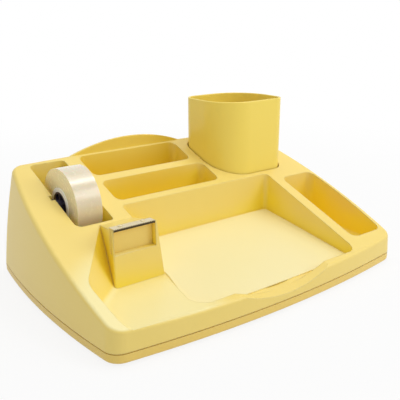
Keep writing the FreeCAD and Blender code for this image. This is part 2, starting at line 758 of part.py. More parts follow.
def reel_hub():
    x0, x1 = roll_x0(), roll_x0() + TAPE_WIDTH
    middle = (x0 + x1) / 2
    rim = ring_x(HUB_R, HUB_R - HUB_RIM, x0, x1)
    web = ring_x(HUB_R - HUB_RIM / 2, AXLE_R + AXLE_BORE_GAP, middle - HUB_WEB / 2, middle + HUB_WEB / 2)
    boss = ring_x(HUB_BOSS_R, AXLE_R + AXLE_BORE_GAP, WELL_X0 + HUB_END_GAP, WELL_X1 - HUB_END_GAP)
    hub = rim.fuse(web).fuse(boss)
    for i in range(HUB_SPOKES):
        rib = box(x0, -HUB_SPOKE / 2, HUB_BOSS_R - HUB_SPOKE, x1, HUB_SPOKE / 2, HUB_R - HUB_RIM / 2)
        rib.rotate(V(0, 0, 0), V(1, 0, 0), 360.0 * i / HUB_SPOKES)
        rib.translate(V(0, REEL_Y, REEL_Z))
        hub = hub.fuse(rib)
    return hub


def tape_core():
    return ring_x(CORE_R, HUB_R + CORE_GAP, roll_x0(), roll_x0() + TAPE_WIDTH)


def tape_roll():
    roll = ring_x(TAPE_R, CORE_R, roll_x0() + TAPE_END_IN, roll_x0() + TAPE_WIDTH - TAPE_END_IN)
    rims = edges_where(roll, lambda e: e.BoundBox.XLength < 1e-3 and e.BoundBox.ZLength > 2 * TAPE_R - 1)
    return roll.makeFillet(TAPE_EDGE_R, rims)


# ---- blade, carrier and rivets ----
def carrier_top():
    return BLOCK_TOP_Z - BLADE_THICK + BLADE_PROUD


def blade_carrier():
    """Insert in the block's front: an upright plate with a ledge on top for the blade."""
    x0, x1 = SLOT_X0 + CARRIER_GAP, SLOT_X1 - CARRIER_GAP
    y1 = slot_back_y()
    plate = box(x0, y1 - CARRIER_THICK, SLOT_Z0, x1, y1, carrier_top())
    ledge = box(x0, block_top_front_y() + BLADE_THICK, carrier_top() - CARRIER_LEDGE, x1, y1, carrier_top())
    carrier = plate.fuse(ledge).removeSplitter()
    for x, y in rivet_points():
        carrier = carrier.cut(rod_z(RIVET_R, carrier_top() - RIVET_DEPTH, TALL, x, y))
    return carrier


def rivet_points():
    middle = (SLOT_X0 + SLOT_X1) / 2
    y = slot_back_y() - BLADE_FLANGE / 2
    return [(middle - RIVET_PITCH / 2, y), (middle + RIVET_PITCH / 2, y)]


def tape_blade():
    """Strip with its front edge folded down, and a row of teeth along the fold."""
    x0, x1 = SLOT_X0 + CARRIER_GAP, SLOT_X1 - CARRIER_GAP
    front = block_top_front_y() - TOOTH_DEPTH
    pitch = (x1 - x0) / TEETH
    points = [(x1, slot_back_y()), (x0, slot_back_y())]
    for i in range(TEETH):
        points.append((x0 + i * pitch, front + TOOTH_DEPTH))
        points.append((x0 + (i + 0.5) * pitch, front))
    points.append((x1, front + TOOTH_DEPTH))
    top = carrier_top() + BLADE_THICK
    blade = prism_z(points, carrier_top(), top)
    lip_y = block_top_front_y()
    lip = box(x0, lip_y, top - BLADE_LIP, x1, lip_y + BLADE_THICK, top)
    blade = blade.fuse(lip).removeSplitter()
    for x, y in rivet_points():
        blade = blade.cut(rod_z(RIVET_R, 0, TALL, x, y))
    return blade


def blade_rivets():
    solids = []
    top = carrier_top() + BLADE_THICK
    for x, y in rivet_points():
        shank = rod_z(RIVET_R, carrier_top() - RIVET_DEPTH, top, x, y)
        head = rod_z(RIVET_HEAD_R, top, top + RIVET_HEAD, x, y)
        head = head.makeFillet(RIVET_HEAD * 0.6, edges_where(head, flat_at(top + RIVET_HEAD)))
        solids.append(shank.fuse(head))
    return Part.makeCompound(solids)


# ---- tray sheet ----
def tray_mat():
    """Loose sheet that lies on the tray's sloping floor."""
    front = TRAY_Y0 + MAT_FRONT_GAP
    left = BLOCK_RIGHT_FOOT_X + MAT_GAP
    run = (TRAY_FRONT_X0 - BLOCK_RIGHT_FOOT_X) / (TRAY_Y0 - BLOCK_FRONT_Y)
    front_left = left + run * (front - BLOCK_FRONT_Y) + MAT_LEFT_GAP
    points = [
        (TRAY_X1 - MAT_GAP, front),
        (TRAY_X1 - MAT_GAP, TRAY_Y1 - MAT_GAP),
        (left, TRAY_Y1 - MAT_GAP),
        (left, BLOCK_FRONT_Y),
        (front_left, front),
    ]
    radii = [MAT_CORNER_R, TRAY_R, TRAY_R, TRAY_SIDE_R, TRAY_FRONT_LEFT_R - MAT_FRONT_GAP]
    wires = [rounded_wire(points, radii, z) for z in (0.0, TALL)]
    outline = Part.makeLoft(wires, True, True)
    y = FAR
    slab = [
        (-y, tray_z(-y)),
        (y, tray_z(y)),
        (y, tray_z(y) + MAT_THICK),
        (-y, tray_z(-y) + MAT_THICK),
    ]
    return outline.common(prism_x(slab, -FAR, FAR))


# ---- all pieces ----
def main():
    os.makedirs("parts", exist_ok=True)
    save("top_shell", top_shell())
    save("base_plate", base_plate())
    save("base_screws", base_screws())
    save("ballast_plate", ballast_plate())
    save("ballast_screws", ballast_screws())
    names = ["foot_front_left", "foot_back_left", "foot_front_right", "foot_back_right"]
    for name, (x, y) in zip(names, foot_points()):
        save(name, foot(x, y))
    save("pencil_cup", pencil_cup())
    save("reel_axle", reel_axle())
    save("reel_hub", reel_hub())
    save("tape_core", tape_core())
    save("tape_roll", tape_roll())
    save("blade_carrier", blade_carrier())
    save("tape_blade", tape_blade())
    save("blade_rivets", blade_rivets())
    save("tray_mat", tray_mat())


main()
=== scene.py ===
# %% [markdown]
# # A desk organiser with a tape dispenser
#
# The object is one sloped plastic body with open compartments, a paper tray, a loose pencil cup
# and a reel of tape on an axle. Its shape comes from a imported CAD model, which is loaded as a
# frame that is never moved. What is left for Blender is the finish of each piece, the wound tape,
# whose surface is finer than the CAD solid, and the light.

# %% Load the frame
import math

import bmesh
import bpy
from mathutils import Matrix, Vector


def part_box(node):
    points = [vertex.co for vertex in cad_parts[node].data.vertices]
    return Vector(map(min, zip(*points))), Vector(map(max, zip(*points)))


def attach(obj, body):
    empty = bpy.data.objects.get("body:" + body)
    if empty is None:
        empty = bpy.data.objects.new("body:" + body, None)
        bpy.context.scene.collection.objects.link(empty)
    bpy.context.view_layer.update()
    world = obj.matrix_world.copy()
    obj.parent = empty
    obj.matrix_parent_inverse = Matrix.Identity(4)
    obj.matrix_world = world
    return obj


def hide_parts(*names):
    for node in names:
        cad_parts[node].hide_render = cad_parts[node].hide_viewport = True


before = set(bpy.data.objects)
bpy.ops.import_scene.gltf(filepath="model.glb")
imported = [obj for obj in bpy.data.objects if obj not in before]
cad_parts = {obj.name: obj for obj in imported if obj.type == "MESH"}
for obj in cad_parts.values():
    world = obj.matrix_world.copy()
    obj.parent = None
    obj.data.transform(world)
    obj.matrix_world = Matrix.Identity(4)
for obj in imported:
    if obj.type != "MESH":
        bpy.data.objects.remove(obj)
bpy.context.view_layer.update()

print("nodes:", len(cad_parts))

# %% [markdown]
# ## Reading sizes from the frame
#
# A place that is measured from the frame stays right when the model changes.

# %% Measure the reel
roll_low, roll_high = (Vector(corner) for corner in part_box("tape_roll"))
core_low, core_high = (Vector(corner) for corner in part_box("tape_core"))
reel_centre = (roll_low + roll_high) / 2
roll_radius = (roll_high.z - roll_low.z) / 2
core_radius = (core_high.z - core_low.z) / 2
print("reel centre", [round(v, 4) for v in reel_centre])
print("roll radius", round(roll_radius, 4), "core radius", round(core_radius, 4))

# %% [markdown]
# ## Building materials in code
#
# Each finish is a small tree of shader nodes. Two helpers keep the cells short: one makes a node
# and sets its values, the other makes an empty material with a Principled BSDF in it. Both take
# socket names with an underscore for each space. A number that is the same all over a surface is
# written on the shader's own socket, because an export reads it there.

# %% Helpers for node trees
def add_node(tree, kind, **values):
    node = tree.nodes.new(kind)
    for name, value in values.items():
        socket = name.replace("_", " ")
        if socket in node.inputs:
            node.inputs[socket].default_value = value
        else:
            setattr(node, name, value)
    return node


def new_finish(name, **values):
    material = bpy.data.materials.new(name)
    material.use_nodes = True
    tree = material.node_tree
    shader = tree.nodes["Principled BSDF"]
    for socket, value in values.items():
        shader.inputs[socket.replace("_", " ")].default_value = value
    return material, tree, shader


def colour(red, green, blue):
    """Linear colour from the 0 to 255 values a colour picker shows."""
    parts = [value / 255 for value in (red, green, blue)]
    linear = [v / 12.92 if v <= 0.04045 else ((v + 0.055) / 1.055) ** 2.4 for v in parts]
    return (*linear, 1.0)


print("yellow in linear values:", [round(v, 3) for v in colour(236, 200, 84)])

# %% [markdown]
# ## Node groups that several finishes share
#
# Moulded plastic is never quite even. The mould leaves a very fine grain, the colour drifts a
# little where the melt flowed, edges are polished by hands, and dust stays in the corners. Each of
# these is one node group with named sockets, so that the same effect can go on the shell, the cup
# and the base with its own strength. A group gives out masks, values and normals only. The shader
# stays in the material.

# %% Helper for node groups
def new_group(name, inputs, outputs):
    """Empty node group. inputs and outputs are lists of (socket name, socket type, default)."""
    group = bpy.data.node_groups.new(name, "ShaderNodeTree")
    for label, kind, default in inputs:
        socket = group.interface.new_socket(name=label, in_out="INPUT", socket_type=kind)
        socket.default_value = default
    for label, kind in outputs:
        group.interface.new_socket(name=label, in_out="OUTPUT", socket_type=kind)
    source = group.nodes.new("NodeGroupInput")
    target = group.nodes.new("NodeGroupOutput")
    return group, source, target


FLOAT = "NodeSocketFloat"
VECTOR = "NodeSocketVector"

# %% [markdown]
# ### Moulded grain
#
# Spark-eroded moulds leave tiny pits of well under a millimetre. Two noises at different scales,
# read in object coordinates, make them: the coarse one is the slight waviness of a large flat
# moulding, and the fine one is the grain itself. Their sum is a height for a Bump node. The fine
# noise also moves the roughness, so that highlights break up a little.

# %% Moulded grain group
grain, grain_in, grain_out = new_group(
    "Moulded grain",
    [
        ("Grain size", FLOAT, 0.0006),
        ("Waviness", FLOAT, 0.3),
        ("Roughness", FLOAT, 0.4),
        ("Roughness spread", FLOAT, 0.08),
    ],
    [("Height", FLOAT), ("Roughness", FLOAT)],
)
place = add_node(grain, "ShaderNodeTexCoord")
per_metre = add_node(grain, "ShaderNodeMath", operation="DIVIDE")
per_metre.inputs[0].default_value = 1.0
fine = add_node(grain, "ShaderNodeTexNoise", Detail=3.0)
broad = add_node(grain, "ShaderNodeTexNoise", Scale=28.0, Detail=2.0)
wave = add_node(grain, "ShaderNodeMath", operation="MULTIPLY_ADD")
spread = add_node(grain, "ShaderNodeMath", operation="MULTIPLY_ADD")
centred = add_node(grain, "ShaderNodeMath", operation="SUBTRACT")
centred.inputs[1].default_value = 0.5
grain.links.new(grain_in.outputs["Grain size"], per_metre.inputs[1])
grain.links.new(place.outputs["Object"], fine.inputs["Vector"])
grain.links.new(place.outputs["Object"], broad.inputs["Vector"])
grain.links.new(per_metre.outputs[0], fine.inputs["Scale"])
grain.links.new(broad.outputs["Fac"], wave.inputs[0])
grain.links.new(grain_in.outputs["Waviness"], wave.inputs[1])
grain.links.new(fine.outputs["Fac"], wave.inputs[2])
grain.links.new(fine.outputs["Fac"], centred.inputs[0])
grain.links.new(centred.outputs[0], spread.inputs[0])
grain.links.new(grain_in.outputs["Roughness spread"], spread.inputs[1])
grain.links.new(grain_in.outputs["Roughness"], spread.inputs[2])
grain.links.new(wave.outputs[0], grain_out.inputs["Height"])
grain.links.new(spread.outputs[0], grain_out.inputs["Roughness"])
print("group:", grain.name)

# %% [markdown]
# ### Soft edges
#
# A moulded edge always has a small radius. The Bevel node bends the normal near an edge as if it
# were rounded, which catches the light along every rim. It is a shading effect only, so it is kept
# near a millimetre. Comparing the bent normal with the true one also gives a mask of the edges.

# %% Soft edge group
soft, soft_in, soft_out = new_group(
    "Soft edges",
    [("Radius", FLOAT, 0.001)],
    [("Normal", VECTOR), ("Edge", FLOAT)],
)
rounded = add_node(soft, "ShaderNodeBevel", samples=4)
true_normal = add_node(soft, "ShaderNodeNewGeometry")
agree = add_node(soft, "ShaderNodeVectorMath", operation="DOT_PRODUCT")
edge_mask = add_node(soft, "ShaderNodeMapRange", From_Min=0.995, From_Max=0.80)
soft.links.new(soft_in.outputs["Radius"], rounded.inputs["Radius"])
soft.links.new(rounded.outputs["Normal"], agree.inputs[0])
soft.links.new(true_normal.outputs["Normal"], agree.inputs[1])
soft.links.new(agree.outputs["Value"], edge_mask.inputs["Value"])
soft.links.new(rounded.outputs["Normal"], soft_out.inputs["Normal"])
soft.links.new(edge_mask.outputs["Result"], soft_out.inputs["Edge"])
print("group:", soft.name)

# %% [markdown]
# ### Flow and dust
#
# Two masks for colour. The first is a slow drift in the colour of a large moulding. The second is
# dust: it lies where little light gets in, so it is ambient occlusion broken up by noise. Ambient
# occlusion measures how much of the sky a point sees within a given reach.

# %% Colour drift group
drift, drift_in, drift_out = new_group(
    "Colour drift",
    [("Scale", FLOAT, 9.0), ("Amount", FLOAT, 0.5)],
    [("Mask", FLOAT)],
)
place = add_node(drift, "ShaderNodeTexCoord")
cloud = add_node(drift, "ShaderNodeTexNoise", Detail=4.0, Roughness=0.6, Distortion=0.4)
weaken = add_node(drift, "ShaderNodeMath", operation="MULTIPLY")
drift.links.new(place.outputs["Object"], cloud.inputs["Vector"])
drift.links.new(drift_in.outputs["Scale"], cloud.inputs["Scale"])
drift.links.new(cloud.outputs["Fac"], weaken.inputs[0])
drift.links.new(drift_in.outputs["Amount"], weaken.inputs[1])
drift.links.new(weaken.outputs[0], drift_out.inputs["Mask"])
print("group:", drift.name)

# %% Corner dust group
dust, dust_in, dust_out = new_group(
    "Corner dust",
    [("Reach", FLOAT, 0.006), ("Amount", FLOAT, 0.4)],
    [("Mask", FLOAT)],
)
shelter = add_node(dust, "ShaderNodeAmbientOcclusion", samples=6)
covered = add_node(dust, "ShaderNodeMapRange", From_Min=0.75, From_Max=0.25)
place = add_node(dust, "ShaderNodeTexCoord")
specks = add_node(dust, "ShaderNodeTexNoise", Scale=420.0, Detail=4.0)
broken = add_node(dust, "ShaderNodeMath", operation="MULTIPLY")
amount = add_node(dust, "ShaderNodeMath", operation="MULTIPLY")
dust.links.new(dust_in.outputs["Reach"], shelter.inputs["Distance"])
dust.links.new(shelter.outputs["AO"], covered.inputs["Value"])
dust.links.new(place.outputs["Object"], specks.inputs["Vector"])
dust.links.new(covered.outputs["Result"], broken.inputs[0])
dust.links.new(specks.outputs["Fac"], broken.inputs[1])
dust.links.new(broken.outputs[0], amount.inputs[0])
dust.links.new(dust_in.outputs["Amount"], amount.inputs[1])
dust.links.new(amount.outputs[0], dust_out.inputs["Mask"])
print("group:", dust.name)

# %% [markdown]
# ### Painted hollow light
#
# Light that bounces inside a yellow hollow comes back more saturated and brighter. This group
# paints
# that bounce light into the colour: ambient occlusion with a reach of a few centimetres finds the
# hollows, and the mask says how far their colour moves. It looks only at the piece itself, so what
# stands near doesn't change its colour.

# %% Painted hollow light group
hollow_light, hollow_light_in, hollow_light_out = new_group(
    "Painted hollow light",
    [("Reach", FLOAT, 0.05), ("Amount", FLOAT, 0.8)],
    [("Mask", FLOAT)],
)
# Painted bounce light: the hollows that ambient occlusion finds get the mask.
hollow = add_node(hollow_light, "ShaderNodeAmbientOcclusion", samples=8, only_local=True)
in_hollow = add_node(
    hollow_light, "ShaderNodeMapRange", interpolation_type="SMOOTHSTEP", From_Min=0.70, From_Max=0.50
)
share = add_node(hollow_light, "ShaderNodeMath", operation="MULTIPLY")
hollow_light.links.new(hollow_light_in.outputs["Reach"], hollow.inputs["Distance"])
hollow_light.links.new(hollow.outputs["AO"], in_hollow.inputs["Value"])
hollow_light.links.new(in_hollow.outputs["Result"], share.inputs[0])
hollow_light.links.new(hollow_light_in.outputs["Amount"], share.inputs[1])
hollow_light.links.new(share.outputs[0], hollow_light_out.inputs["Mask"])
print("group:", hollow_light.name)

# %% [markdown]
# ## Moulded plastic
#
# The shell, the base, the cup, the blade's carrier and the loose sheet are all the same kind of
# plastic in slightly different shades. One function places the shared groups and sets their
# values. Four colour mixes follow one another: the drift between two near shades, a painted bounce
# light that gives the hollows a more saturated or a lighter yellow, the lighter one on rubbed
# edges, and dust in the corners. A thin clear coat gives the faint gloss of a moulded skin.

# %% Moulded plastic finish
def place_group(tree, group, **values):
    node = tree.nodes.new("ShaderNodeGroup")
    node.node_tree = group
    for name, value in values.items():
        node.inputs[name.replace("_", " ")].default_value = value
    return node


def mix_colour(tree, mask, first, second):
    """Mix of two colours. first is a colour or an output, second is a colour."""
    mix = add_node(tree, "ShaderNodeMix", data_type="RGBA")
    tree.links.new(mask, mix.inputs["Factor"])
    if isinstance(first, tuple):
        mix.inputs[6].default_value = first
    else:
        tree.links.new(first, mix.inputs[6])
    mix.inputs[7].default_value = second
    return mix.outputs[2]


def moulded_plastic(
    name, body, second, hollow_light_colour, worn, dirt, roughness, edge=0.0009, grain_size=0.0006, bump=0.00003
):
    material, tree, shader = new_finish(name, Coat_Weight=0.14, Coat_Roughness=0.26, IOR=1.49)
    marks = place_group(tree, drift, Scale=9.0, Amount=0.9)
    edges = place_group(tree, soft, Radius=edge)
    corners = place_group(tree, dust, Reach=0.006, Amount=0.35)
    skin = place_group(
        tree,
        grain,
        Grain_size=grain_size,
        Waviness=0.25,
        Roughness=roughness,
        Roughness_spread=0.10,
    )
    # Painted bounce light: the hollows get a second, more saturated or lighter colour.
    hollow_light_node = place_group(tree, hollow_light, Reach=0.05, Amount=0.9)
    tint = mix_colour(tree, marks.outputs["Mask"], body, second)
    hollow_lit = mix_colour(tree, hollow_light_node.outputs["Mask"], tint, hollow_light_colour)
    rubbed = mix_colour(tree, edges.outputs["Edge"], hollow_lit, worn)
    settled = mix_colour(tree, corners.outputs["Mask"], rubbed, dirt)
    relief = add_node(tree, "ShaderNodeBump", Strength=0.35, Distance=bump)
    tree.links.new(settled, shader.inputs["Base Color"])
    tree.links.new(skin.outputs["Roughness"], shader.inputs["Roughness"])
    tree.links.new(skin.outputs["Height"], relief.inputs["Height"])
    tree.links.new(edges.outputs["Normal"], relief.inputs["Normal"])
    tree.links.new(relief.outputs["Normal"], shader.inputs["Normal"])
    return material


# %% Yellow plastics
# The colour each finish gives its hollows is painted bounce light.
shell_yellow = moulded_plastic(
    "shell_yellow",
    body=colour(251, 225, 127),
    second=colour(248, 218, 114),
    hollow_light_colour=colour(255, 229, 58),
    worn=colour(252, 230, 142),
    dirt=colour(214, 176, 72),
    roughness=0.40,
    edge=0.0015,
)
base_yellow = moulded_plastic(
    "base_yellow",
    body=colour(246, 214, 112),
    second=colour(242, 207, 102),
    hollow_light_colour=colour(246, 216, 90),
    worn=colour(250, 226, 136),
    dirt=colour(200, 162, 66),
    roughness=0.42,
)
# Inside the cup the hollow colour is much lighter: painted light in the cup.
cup_yellow = moulded_plastic(
    "cup_yellow",
    body=colour(255, 230, 104),
    second=colour(252, 224, 94),
    hollow_light_colour=colour(255, 252, 196),
    worn=colour(253, 236, 148),
    dirt=colour(204, 166, 64),
    roughness=0.38,
)
carrier_yellow = moulded_plastic(
    "carrier_yellow",
    body=colour(246, 218, 122),
    second=colour(242, 211, 112),
    hollow_light_colour=colour(248, 218, 112),
    worn=colour(246, 222, 130),
    dirt=colour(150, 118, 52),
    roughness=0.42,
    edge=0.0004,
)
print("made:", shell_yellow.name, base_yellow.name, cup_yellow.name, carrier_yellow.name)

# %% [markdown]
# ### Painted light and shade on the shell
#
# Two places on the shell are painted. The upward faces of the low deck before the blade are
# painted paler, a painted light, and the crest's inner face, which looks forward, is painted a
# deeper yellow, a painted shade. Each patch is a soft ball in object coordinates, limited to faces
# that look one way: up for the deck and forward for the crest.

# %% Patch group
patch, patch_in, patch_out = new_group(
    "Patch",
    [
        ("Centre", VECTOR, (0.0, 0.0, 0.0)),
        ("Radius", FLOAT, 0.05),
        ("Direction", VECTOR, (0.0, 0.0, 1.0)),
        ("Amount", FLOAT, 0.8),
    ],
    [("Mask", FLOAT)],
)
place = add_node(patch, "ShaderNodeTexCoord")
gap = add_node(patch, "ShaderNodeVectorMath", operation="DISTANCE")
near = add_node(patch, "ShaderNodeMath", operation="DIVIDE")
ball = add_node(
    patch, "ShaderNodeMapRange", interpolation_type="SMOOTHSTEP", From_Min=1.0, From_Max=0.6
)
along = add_node(patch, "ShaderNodeVectorMath", operation="DOT_PRODUCT")
facing = add_node(patch, "ShaderNodeMapRange", From_Min=0.5, From_Max=0.85)
both = add_node(patch, "ShaderNodeMath", operation="MULTIPLY")
amount = add_node(patch, "ShaderNodeMath", operation="MULTIPLY")
patch.links.new(place.outputs["Object"], gap.inputs[0])
patch.links.new(patch_in.outputs["Centre"], gap.inputs[1])
patch.links.new(gap.outputs["Value"], near.inputs[0])
patch.links.new(patch_in.outputs["Radius"], near.inputs[1])
patch.links.new(near.outputs[0], ball.inputs["Value"])
patch.links.new(place.outputs["Normal"], along.inputs[0])
patch.links.new(patch_in.outputs["Direction"], along.inputs[1])
patch.links.new(along.outputs["Value"], facing.inputs["Value"])
patch.links.new(ball.outputs["Result"], both.inputs[0])
patch.links.new(facing.outputs["Result"], both.inputs[1])
patch.links.new(both.outputs[0], amount.inputs[0])
patch.links.new(patch_in.outputs["Amount"], amount.inputs[1])
patch.links.new(amount.outputs[0], patch_out.inputs["Mask"])
print("group:", patch.name)

# %% Patches on the shell
shell_low, shell_high = (Vector(corner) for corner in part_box("top_shell"))
blade_low, blade_high = (Vector(corner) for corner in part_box("tape_blade"))
low_deck_across = (shell_low.x + blade_high.x) / 2 + 0.006
low_deck_height = 0.026
before_blade = 0.040
low_deck = Vector((low_deck_across, blade_low.y - before_blade, low_deck_height))
crest_across = -0.019
crest = Vector((crest_across, shell_high.y - 0.006, shell_high.z - 0.004))
tree = shell_yellow.node_tree
shader = tree.nodes["Principled BSDF"]
painted = shader.inputs["Base Color"].links[0].from_socket
upward = (0.0, 0.0, 1.0)
forward = (0.0, -1.0, 0.0)
# Painted light: the upward faces of the low deck are painted paler.
deck_light = place_group(tree, patch, Centre=low_deck, Radius=0.072, Direction=upward, Amount=0.85)
# Painted shade: the crest's forward faces are painted a deeper yellow.
shade = place_group(tree, patch, Centre=crest, Radius=0.10, Direction=forward, Amount=0.75)
deck_lit = mix_colour(tree, deck_light.outputs["Mask"], painted, colour(255, 243, 178))
crest_shaded = mix_colour(tree, shade.outputs["Mask"], deck_lit, colour(246, 210, 52))
tree.links.new(crest_shaded, shader.inputs["Base Color"])
print("low deck at", [round(v, 3) for v in low_deck], "crest at", [round(v, 3) for v in crest])

# %% [markdown]
# The sheet that lies in the tray is paler and a little smoother than the shell around it.

# %% Pale sheet
sheet_cream = moulded_plastic(
    "sheet_cream",
    body=colour(252, 240, 184),
    second=colour(250, 236, 172),
    hollow_light_colour=colour(252, 240, 176),
    worn=colour(253, 243, 198),
    dirt=colour(236, 212, 136),
    roughness=0.44,
    edge=0.0004,
    grain_size=0.0004,
)
print("made:", sheet_cream.name)

# %% [markdown]
# ## Dark plastic
#
# The hub and its axle are dark, slightly glossy mouldings. The same function serves, with worn
# edges that are only a little lighter.

# %% Hub and axle
hub_dark = moulded_plastic(
    "hub_dark",
    body=colour(58, 52, 70),
    second=colour(50, 46, 58),
    hollow_light_colour=colour(58, 52, 72),
    worn=colour(92, 86, 106),
    dirt=colour(84, 78, 76),
    roughness=0.34,
    edge=0.0003,
)
axle_dark = moulded_plastic(
    "axle_dark",
    body=colour(44, 42, 50),
    second=colour(36, 34, 42),
    hollow_light_colour=colour(40, 38, 46),
    worn=colour(96, 94, 100),
    dirt=colour(84, 78, 76),
    roughness=0.30,
    edge=0.0003,
)
print("made:", hub_dark.name, axle_dark.name)

# %% [markdown]
# ## Wound tape
#
# A roll of clear tape is hundreds of thin layers. From the side they show as fine rings, and from
# outside the film is glossy and slightly milky. The rings depend on the distance from the axle, so
# they are made from the Y and Z of the object coordinate, measured from the reel's centre. This
# group is shared by the tape and its core.

# %% Ring group
rings, rings_in, rings_out = new_group(
    "Wound rings",
    [("Centre", VECTOR, (0.0, 0.0, 0.0)), ("Ring pitch", FLOAT, 0.0004), ("Contrast", FLOAT, 0.5)],
    [("Mask", FLOAT), ("Height", FLOAT)],
)
place = add_node(rings, "ShaderNodeTexCoord")
from_axle = add_node(rings, "ShaderNodeVectorMath", operation="SUBTRACT")
flat = add_node(rings, "ShaderNodeVectorMath", operation="MULTIPLY")
flat.inputs[1].default_value = (0.0, 1.0, 1.0)
distance = add_node(rings, "ShaderNodeVectorMath", operation="LENGTH")
count = add_node(rings, "ShaderNodeMath", operation="DIVIDE")
layer_noise = add_node(rings, "ShaderNodeTexNoise", noise_dimensions="1D", Scale=1.0, Detail=3.0)
contrast = add_node(rings, "ShaderNodeMath", operation="MULTIPLY")
rings.links.new(place.outputs["Object"], from_axle.inputs[0])
rings.links.new(rings_in.outputs["Centre"], from_axle.inputs[1])
rings.links.new(from_axle.outputs["Vector"], flat.inputs[0])
rings.links.new(flat.outputs["Vector"], distance.inputs[0])
rings.links.new(distance.outputs["Value"], count.inputs[0])
rings.links.new(rings_in.outputs["Ring pitch"], count.inputs[1])
rings.links.new(count.outputs[0], layer_noise.inputs["W"])
rings.links.new(layer_noise.outputs["Fac"], contrast.inputs[0])
rings.links.new(rings_in.outputs["Contrast"], contrast.inputs[1])
rings.links.new(contrast.outputs[0], rings_out.inputs["Mask"])
rings.links.new(layer_noise.outputs["Fac"], rings_out.inputs["Height"])
print("group:", rings.name)

# %% [markdown]
# The film lets a little light in, so some subsurface scattering softens it. Its outside is smooth
# and shiny, with faint cloudiness where layers lie less tightly. Its sides show the cut edges of
# the layers as rings, and they are painted paler and warmer: painted light on the shaded sides. A
# face that looks along the axle has a normal along X, so the size of the normal's X tells sides
# from outside, however far the reel has turned.

# %% Tape film
tape_film, tree, shader = new_finish(
    "tape_film",
    Subsurface_Weight=0.25,
    Subsurface_Scale=0.004,
    Coat_Weight=1.0,
    Coat_Roughness=0.16,
    IOR=1.47,
)
layers = place_group(tree, rings, Centre=reel_centre, Ring_pitch=0.00035, Contrast=0.9)
cloudy = place_group(tree, drift, Scale=60.0, Amount=0.6)
skin = place_group(
    tree, grain, Grain_size=0.003, Waviness=0.5, Roughness=0.26, Roughness_spread=0.12
)
facing = add_node(tree, "ShaderNodeSeparateXYZ")
side_light_mask = add_node(tree, "ShaderNodeMath", operation="ABSOLUTE")
surface = add_node(tree, "ShaderNodeTexCoord")
tree.links.new(surface.outputs["Normal"], facing.inputs["Vector"])
tree.links.new(facing.outputs["X"], side_light_mask.inputs[0])
film = mix_colour(tree, layers.outputs["Mask"], colour(234, 220, 188), colour(222, 204, 164))
hazy = mix_colour(tree, cloudy.outputs["Mask"], film, colour(242, 232, 208))
# Painted light: the sides of the roll get a paler, warmer colour than the outside.
lit_sides = mix_colour(tree, layers.outputs["Mask"], colour(255, 246, 216), colour(250, 234, 192))
sides = add_node(tree, "ShaderNodeMix", data_type="RGBA")
tree.links.new(side_light_mask.outputs[0], sides.inputs["Factor"])
tree.links.new(hazy, sides.inputs[6])
tree.links.new(lit_sides, sides.inputs[7])
relief = add_node(tree, "ShaderNodeBump", Strength=0.25, Distance=0.00004)
tree.links.new(sides.outputs[2], shader.inputs["Base Color"])
tree.links.new(skin.outputs["Roughness"], shader.inputs["Roughness"])
tree.links.new(layers.outputs["Height"], relief.inputs["Height"])
tree.links.new(relief.outputs["Normal"], shader.inputs["Normal"])
print("made:", tape_film.name)

# %% Tape core
core_white, tree, shader = new_finish("core_white", IOR=1.48)
bands = place_group(tree, rings, Centre=reel_centre, Ring_pitch=0.0009, Contrast=0.6)
skin = place_group(
    tree, grain, Grain_size=0.0005, Waviness=0.3, Roughness=0.5, Roughness_spread=0.14
)
edges = place_group(tree, soft, Radius=0.0003)
shade = mix_colour(tree, bands.outputs["Mask"], colour(255, 254, 250), colour(248, 246, 238))
worn = mix_colour(tree, edges.outputs["Edge"], shade, colour(246, 244, 236))
relief = add_node(tree, "ShaderNodeBump", Strength=0.3, Distance=0.00003)
tree.links.new(worn, shader.inputs["Base Color"])
tree.links.new(skin.outputs["Roughness"], shader.inputs["Roughness"])
tree.links.new(skin.outputs["Height"], relief.inputs["Height"])
tree.links.new(edges.outputs["Normal"], relief.inputs["Normal"])
tree.links.new(relief.outputs["Normal"], shader.inputs["Normal"])
print("made:", core_white.name)

# %% [markdown]
# ## Metal
#
# The blade and its rivets are bright plated steel, the screws are zinc plated and the ballast is
# primed. Rolled metal shows fine lines in one direction, so the noise is stretched along X. Faces
# that look forward, such as the toothed front of the blade, are coloured dark brown. The Y of the
# normal is the mask. The other steels set that mask to nothing.

# %% Rolled lines group
rolled, rolled_in, rolled_out = new_group(
    "Rolled lines",
    [("Fineness", FLOAT, 900.0), ("Roughness", FLOAT, 0.3), ("Roughness spread", FLOAT, 0.15)],
    [("Mask", FLOAT), ("Roughness", FLOAT)],
)
place = add_node(rolled, "ShaderNodeTexCoord")
stretch = add_node(rolled, "ShaderNodeVectorMath", operation="MULTIPLY")
stretch.inputs[1].default_value = (0.03, 1.0, 1.0)
lines = add_node(rolled, "ShaderNodeTexNoise", Detail=5.0)
spread = add_node(rolled, "ShaderNodeMath", operation="MULTIPLY_ADD")
rolled.links.new(place.outputs["Object"], stretch.inputs[0])
rolled.links.new(stretch.outputs["Vector"], lines.inputs["Vector"])
rolled.links.new(rolled_in.outputs["Fineness"], lines.inputs["Scale"])
rolled.links.new(lines.outputs["Fac"], spread.inputs[0])
rolled.links.new(rolled_in.outputs["Roughness spread"], spread.inputs[1])
rolled.links.new(rolled_in.outputs["Roughness"], spread.inputs[2])
rolled.links.new(lines.outputs["Fac"], rolled_out.inputs["Mask"])
rolled.links.new(spread.outputs[0], rolled_out.inputs["Roughness"])
print("group:", rolled.name)


